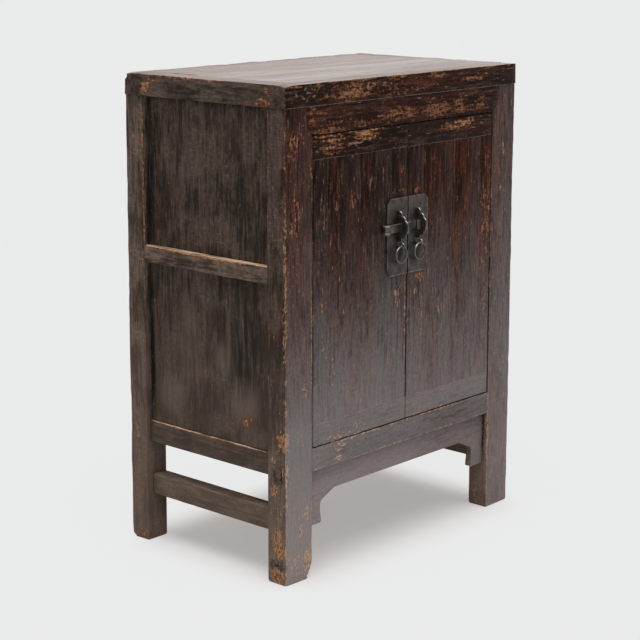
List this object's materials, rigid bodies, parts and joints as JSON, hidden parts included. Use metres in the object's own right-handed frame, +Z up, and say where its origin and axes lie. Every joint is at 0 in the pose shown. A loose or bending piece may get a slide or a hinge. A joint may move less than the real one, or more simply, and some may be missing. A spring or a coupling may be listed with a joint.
{
  "type": "kang cabinet",
  "caption": "Low wooden cabinet with paired pivoting doors, a framed top, tall legs and an iron lock bar with ring pulls.",
  "frame": {"origin": "on the floor, under the middle of the cabinet's whole box, ironwork included", "axes": "+X to the right of someone who faces the doors, +Y to the rear, +Z up"},
  "size_m": [0.64, 0.412, 0.86],
  "materials": {
    "front_lacquer": "old dark lacquer, worn to bare wood at edges and scuffs",
    "side_wood": "old matte lacquer, thin over open grain",
    "top_wood": "worn satin lacquer with rubbed grain",
    "inside_wood": "bare aged wood",
    "iron": "dark forged iron, worn bright at edges"
  },
  "bodies": {
    "door_left": {"cotter_left": "iron", "door_left_board_inner": "front_lacquer", "door_left_board_outer": "front_lacquer", "door_left_bottom_cap": "front_lacquer", "door_left_hinge_stile": "front_lacquer", "door_left_meeting_stile": "front_lacquer", "door_left_top_cap": "front_lacquer", "face_plate_left": "iron", "lug_left": "iron"},
    "door_right": {"cotter_right": "iron", "door_right_board_inner": "front_lacquer", "door_right_board_outer": "front_lacquer", "door_right_bottom_cap": "front_lacquer", "door_right_hinge_stile": "front_lacquer", "door_right_meeting_stile": "front_lacquer", "door_right_top_cap": "front_lacquer", "face_plate_right": "iron", "lug_right": "iron"},
    "case": {"floor_board_front": "inside_wood", "floor_board_middle": "inside_wood", "floor_board_rear": "inside_wood", "front_apron": "front_lacquer", "front_lintel": "front_lacquer", "front_sill": "front_lacquer", "post_front_left": "front_lacquer", "post_front_right": "front_lacquer", "post_rear_left": "side_wood", "post_rear_right": "side_wood", "rear_bottom_rail": "inside_wood", "rear_middle_rail": "inside_wood", "rear_panel_lower": "inside_wood", "rear_panel_upper": "inside_wood", "shelf_board_front": "inside_wood", "shelf_board_rear": "inside_wood", "side_bottom_rail_left": "side_wood", "side_bottom_rail_right": "side_wood", "side_middle_rail_left": "side_wood", "side_middle_rail_right": "side_wood", "side_panel_lower_left": "side_wood", "side_panel_lower_right": "side_wood", "side_panel_upper_left": "side_wood", "side_panel_upper_right": "side_wood", "side_stretcher_left": "side_wood", "side_stretcher_right": "side_wood", "top_board_front": "top_wood", "top_board_middle": "top_wood", "top_board_rear": "top_wood", "top_brace": "inside_wood", "top_frame_front": "front_lacquer", "top_frame_left": "side_wood", "top_frame_rear": "side_wood", "top_frame_right": "side_wood"},
    "lock_bar": {"lock_bar": "iron"},
    "ring_left": {"ring_left": "iron"},
    "ring_right": {"ring_right": "iron"}
  },
  "joints": [
    {"name": "door_left_swing", "type": "hinge", "parent": "case", "child": "door_left", "pos_m": [-0.2315, -0.1715, 0.5], "axis": [0, 0, -1], "range_deg": [0, 100]},
    {"name": "door_right_swing", "type": "hinge", "parent": "case", "child": "door_right", "pos_m": [0.2315, -0.1715, 0.5], "axis": [0, 0, 1], "range_deg": [0, 100]},
    {"name": "lock_bar_slide", "type": "slide", "parent": "door_left", "child": "lock_bar", "axis": [1, 0, 0], "range_m": [0, 0.0293]},
    {"name": "ring_left_hang", "type": "hinge", "parent": "door_left", "child": "ring_left", "pos_m": [-0.026, -0.1913, 0.5552], "axis": [-1, 0, 0], "range_deg": [-9, 100]},
    {"name": "ring_right_hang", "type": "hinge", "parent": "door_right", "child": "ring_right", "pos_m": [0.026, -0.1913, 0.5552], "axis": [-1, 0, 0], "range_deg": [-9, 100]}
  ]
}
